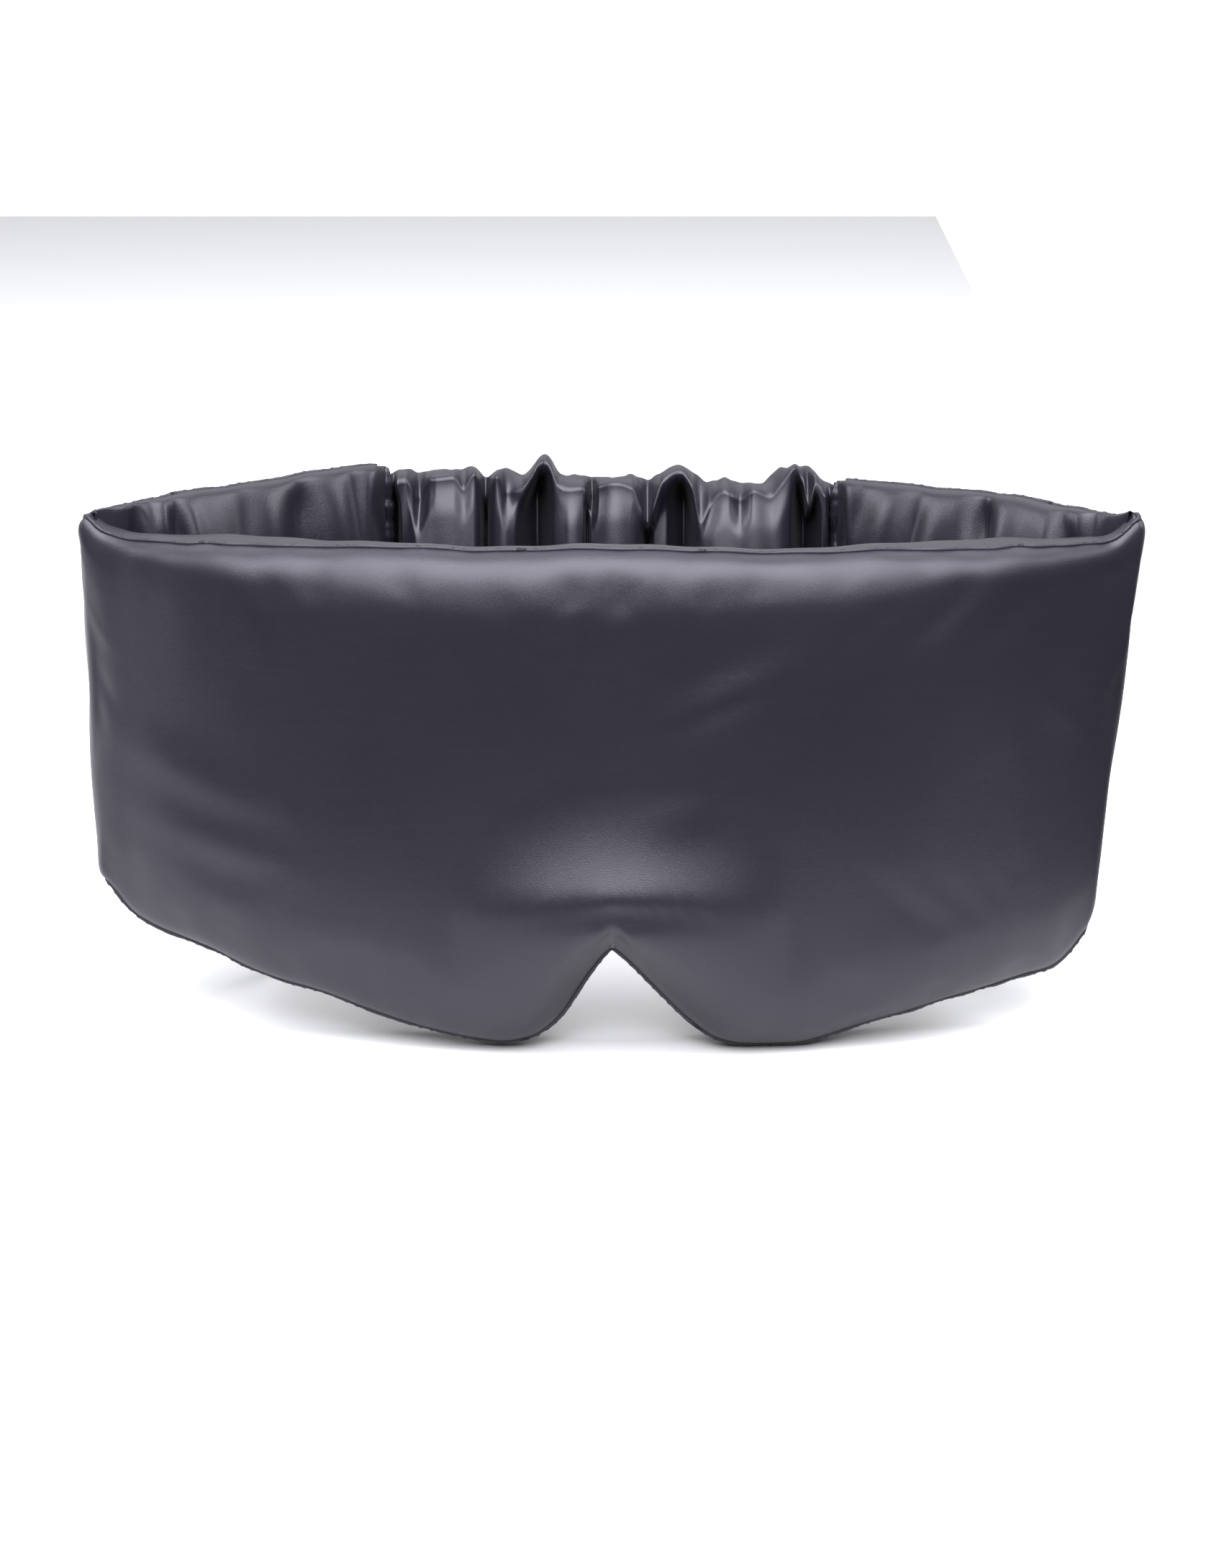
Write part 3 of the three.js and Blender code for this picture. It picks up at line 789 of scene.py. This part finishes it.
def band_half(way):
    """One half of the gathered casing, from its wing seam to the middle of the band."""
    x = way * np.linspace(BAND_END[0] + BAND_LAP, 0, CASING_COLUMNS)[:, None]
    ring = casing_ring(x)
    rows = ring.shape[1]
    faces = grid_faces(CASING_COLUMNS, rows, closed=True, flip=way > 0)
    round_about = np.cumsum(np.linalg.norm(np.diff(ring[0], axis=0, prepend=ring[0][:1]), axis=1))
    uvs = np.stack(np.broadcast_arrays(GATHER * x, round_about[None]), 2)
    return ring.reshape(-1, 3), faces, uvs.reshape(-1, 2) * MM


# ---- materials ----
def new_material(name):
    material = bpy.data.materials.new(name)
    material.use_nodes = True
    return material, material.node_tree, material.node_tree.nodes["Principled BSDF"]


def cloth_noise(tree, scale_u, scale_v, detail):
    """Noise over the cloth's own coordinates; scales are features per metre along and across."""
    cloth = tree.nodes.new("ShaderNodeUVMap")
    cloth.uv_map = "cloth"
    place = tree.nodes.new("ShaderNodeMapping")
    place.inputs["Scale"].default_value = (scale_u, scale_v, 1)
    noise = tree.nodes.new("ShaderNodeTexNoise")
    noise.inputs["Scale"].default_value = 1
    noise.inputs["Detail"].default_value = detail
    tree.links.new(cloth.outputs["UV"], place.inputs["Vector"])
    tree.links.new(place.outputs["Vector"], noise.inputs["Vector"])
    return noise.outputs["Fac"]


def math_node(tree, operation, a, b):
    node = tree.nodes.new("ShaderNodeMath")
    node.operation = operation
    for socket, value in zip(node.inputs, (a, b)):
        if isinstance(value, (int, float)):
            socket.default_value = value
        else:
            tree.links.new(value, socket)
    return node.outputs[0]


def map_range(tree, value, source, target):
    node = tree.nodes.new("ShaderNodeMapRange")
    node.inputs["From Min"].default_value, node.inputs["From Max"].default_value = source
    node.inputs["To Min"].default_value, node.inputs["To Max"].default_value = target
    tree.links.new(value, node.inputs["Value"])
    return node.outputs["Result"]


def tint_by(tree, bsdf, factor, colour, spread):
    """Base colour that varies by a share either way with a 0 to 1 value."""
    tint = tree.nodes.new("ShaderNodeMix")
    tint.data_type = "RGBA"
    tint.inputs["A"].default_value = (*[c * (1 - spread) for c in colour], 1)
    tint.inputs["B"].default_value = (*[c * (1 + spread) for c in colour], 1)
    tree.links.new(factor, tint.inputs["Factor"])
    tree.links.new(tint.outputs["Result"], bsdf.inputs["Base Color"])


def bump_by(tree, bsdf, height, strength, distance):
    bump = tree.nodes.new("ShaderNodeBump")
    bump.inputs["Strength"].default_value = strength
    bump.inputs["Distance"].default_value = distance
    tree.links.new(height, bump.inputs["Height"])
    tree.links.new(bump.outputs["Normal"], bsdf.inputs["Normal"])


def satin(name, colour, roughness, weave=0.2):
    """Satin weave: fine floats along the cloth, slubs, soft patches of colour and gloss."""
    material, tree, bsdf = new_material(name)
    floats = cloth_noise(tree, 1500, 8000, 1)
    wefts = cloth_noise(tree, 7000, 1100, 1)
    slubs = cloth_noise(tree, 60, 900, 3)
    patches = cloth_noise(tree, 22, 22, 4)
    half_floats = math_node(tree, "MULTIPLY", floats, 0.5)
    half_wefts = math_node(tree, "MULTIPLY", wefts, 0.5)
    grain = math_node(tree, "ADD", half_floats, half_wefts)
    uneven = math_node(tree, "ADD", math_node(tree, "ADD", slubs, patches), grain)
    tint_by(tree, bsdf, math_node(tree, "MULTIPLY", uneven, 0.333), colour, 0.5)
    gloss = map_range(tree, patches, (0, 1), (roughness - 0.06, roughness + 0.06))
    tree.links.new(gloss, bsdf.inputs["Roughness"])
    threads = math_node(tree, "ADD", floats, math_node(tree, "MULTIPLY", wefts, 0.6))
    bump_by(tree, bsdf, threads, weave, 0.0002)
    bsdf.inputs["Specular IOR Level"].default_value = 0.42
    bsdf.inputs["Specular Tint"].default_value = (0.93, 0.9, 1.0, 1)
    bsdf.inputs["Sheen Weight"].default_value = 0.02
    bsdf.inputs["Sheen Roughness"].default_value = 0.35
    return material


def sewing_thread(name, colour):
    """Twisted polyester thread: fine plies across each stitch."""
    material, tree, bsdf = new_material(name)
    plies = cloth_noise(tree, 2600, 900, 1)
    tint_by(tree, bsdf, plies, colour, 0.4)
    bump_by(tree, bsdf, plies, 0.4, 0.0001)
    bsdf.inputs["Roughness"].default_value = 0.6
    return material


SATIN = satin("satin", (0.0088, 0.0076, 0.0132), 0.38)
LINING = satin("lining_satin", (0.0062, 0.0053, 0.0098), 0.36)
CASING = satin("casing_satin", (0.0062, 0.0053, 0.0098), 0.35)
SEAM_SATIN = satin("seam_satin", (0.010, 0.009, 0.014), 0.5, 0.3)
THREAD = sewing_thread("sewing_thread", (0.014, 0.013, 0.019))


# ---- assembling the pieces ----
def wear(obj, material, slot):
    """Gives a piece its material."""
    obj.data.materials.clear()
    obj.data.materials.append(material)


def attach(obj, segment):
    """Makes a pad piece ride its body; the pieces between two bodies only get their transform baked in."""
    side = "left" if "left" in segment else "right"
    if segment == "centre":
        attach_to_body(obj, "front")
    elif segment in ("left", "right"):
        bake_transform(obj)
    elif segment.startswith("corner"):
        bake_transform(obj)
    else:
        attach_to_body(obj, f"wing_{side}")


def replaced_nodes():
    """The CAD nodes that each pad piece stands for."""
    nodes = {}
    for part in ("centre", "left", "right"):
        nodes["cover", part] = [f"{layer}_{part}" for layer in ("outer_satin", "blackout_layer", "wadding")]
        nodes["lining", part] = [f"lining_{part}"]
        nodes["seam", part] = [f"edge_thread_top_{part}", f"edge_thread_bottom_{part}"]
    for side in ("left", "right"):
        wing = f"wing_{side}"
        nodes["cover", wing] = [f"wing_outer_{side}", f"wing_wadding_{side}"]
        nodes["lining", wing] = [f"wing_lining_{side}"]
        nodes["seam", wing] = [f"wing_thread_top_{side}", f"wing_thread_bottom_{side}"]
    return nodes


REPLACED = replaced_nodes()
PAD = Pad()

for side, segment in PIECES:
    piece = PAD.cut((side, segment))
    wear(piece, *((SATIN, "satin") if side == "cover" else (LINING, "lining")))
    attach(piece, segment)
    if (side, segment) in REPLACED:
        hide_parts(*REPLACED[side, segment])

for segment in SEGMENTS:
    roll, thread = edge_seams(PAD, segment)
    wear(roll, SEAM_SATIN, "satin")
    wear(thread, THREAD, "thread")
    attach(roll, segment)
    attach(thread, segment)
    if ("seam", segment) in REPLACED:
        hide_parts(*REPLACED["seam", segment])

for way, side in ((-1, "left"), (1, "right")):
    roll, thread = corner_seam(PAD, way)
    wear(roll, SEAM_SATIN, "satin")
    wear(thread, THREAD, "thread")
    attach(roll, f"corner_{side}")
    attach(thread, f"corner_{side}")
    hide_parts(f"corner_seam_{side}")

    welt = band_welt(way)
    wear(welt, CASING, "satin")
    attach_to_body(welt, f"wing_{side}")
    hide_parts(f"band_seam_{side}")

    casing = new_object(f"ruched_casing_{side}", *band_half(way))
    wear(casing, CASING, "satin")
    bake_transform(casing)
    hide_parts(f"band_casing_{side}", f"band_casing_mid_{side}", f"band_elastic_{side}",
                f"band_elastic_mid_{side}")

tack = notch_stitches(PAD)
wear(tack, THREAD, "thread")
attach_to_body(tack, "front")
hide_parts("notch_tack")


# ---- floor, light, camera ----
FLOOR_ALBEDO = 0.66  # pale paper
FLOOR_HEIGHT = -0.3
FLOOR_NEAR, FLOOR_FAR, FLOOR_LEFT, FLOOR_RIGHT = -125, 1200, -1500, 170  # the table's edges
FRONT_LIGHT, REAR_LIGHT, TOP_LIGHT = 0.24, 0.8, 0.5  # radiance of the room's walls and ceiling
BACKDROP = 1.15  # radiance of the backdrop as the camera sees it
COOL = (0.97, 0.975, 1.0)  # colour of the light


def area_light(name, place, target, size, watts):
    """Softbox at a place, turned to a target; all in metres."""
    light = bpy.data.lights.new(name, "AREA")
    light.shape = "RECTANGLE"
    light.size, light.size_y = size
    light.energy = watts
    light.color = COOL
    lamp = bpy.data.objects.new(name, light)
    lamp.location = place
    lamp.rotation_mode = "QUATERNION"
    lamp.rotation_quaternion = (Vector(target) - Vector(place)).to_track_quat("-Z", "Y")
    bpy.context.scene.collection.objects.link(lamp)


def studio():
    """Table, four softboxes, and a room that is dark in front and brighter behind."""
    corners = [
        (FLOOR_LEFT, FLOOR_NEAR, FLOOR_HEIGHT), (FLOOR_RIGHT, FLOOR_NEAR, FLOOR_HEIGHT),
        (FLOOR_RIGHT, FLOOR_FAR, FLOOR_HEIGHT), (FLOOR_LEFT, FLOOR_FAR, FLOOR_HEIGHT),
    ]
    floor = new_object("floor", corners, [(0, 1, 2, 3)])
    paper, _, bsdf = new_material("paper")
    bsdf.inputs["Base Color"].default_value = (FLOOR_ALBEDO, FLOOR_ALBEDO, FLOOR_ALBEDO * 1.01, 1)
    bsdf.inputs["Roughness"].default_value = 0.6
    bsdf.inputs["Specular IOR Level"].default_value = 0.2
    floor.data.materials.append(paper)
    area_light("top_softbox", (0.0, -0.46, 0.88), (0, 0.0, 0.06), (1.0, 1.3), 44)
    area_light("left_softbox", (-0.85, 0.0, 0.6), (0, 0, 0.08), (0.5, 0.4), 7)
    area_light("back_softbox", (0.0, 0.55, 0.8), (0, 0, 0.1), (1.2, 0.6), 4)
    area_light("right_softbox", (0.85, 0.08, 0.6), (0, 0, 0.08), (0.5, 0.4), 7)
    world = bpy.data.worlds.new("room")
    bpy.context.scene.world = world
    world.use_nodes = True
    tree = world.node_tree
    coordinate = tree.nodes.new("ShaderNodeTexCoord")
    split = tree.nodes.new("ShaderNodeSeparateXYZ")
    tree.links.new(coordinate.outputs["Generated"], split.inputs["Vector"])
    walls = map_range(tree, split.outputs["Y"], (0.25, 0.9), (FRONT_LIGHT, REAR_LIGHT))
    ceiling = map_range(tree, split.outputs["Z"], (0.35, 0.9), (0.0, TOP_LIGHT))
    room = math_node(tree, "MAXIMUM", walls, ceiling)
    seen = tree.nodes.new("ShaderNodeLightPath").outputs["Is Camera Ray"]
    backdrop = math_node(tree, "MULTIPLY", seen, BACKDROP)
    unseen = math_node(tree, "MULTIPLY", room, math_node(tree, "SUBTRACT", 1, seen))
    strength = math_node(tree, "ADD", backdrop, unseen)
    tree.links.new(strength, tree.nodes["Background"].inputs["Strength"])
    tree.nodes["Background"].inputs["Color"].default_value = (*COOL, 1)


def camera():
    """Long lens, looking slightly down on the front."""
    elevation, distance = np.radians(17), 0.94
    target = Vector((0.0007, 0.0, 0.0536))
    back = Vector((0, -np.cos(elevation), np.sin(elevation)))
    data = bpy.data.cameras.new("camera")
    data.lens = 91.6
    data.sensor_width = 36
    eye = bpy.data.objects.new("camera", data)
    eye.location = target + back * distance
    eye.rotation_mode = "QUATERNION"
    eye.rotation_quaternion = (-back).to_track_quat("-Z", "Y")
    bpy.context.scene.collection.objects.link(eye)
    bpy.context.scene.camera = eye


studio()
camera()
bpy.context.scene.view_settings.view_transform = "Standard"
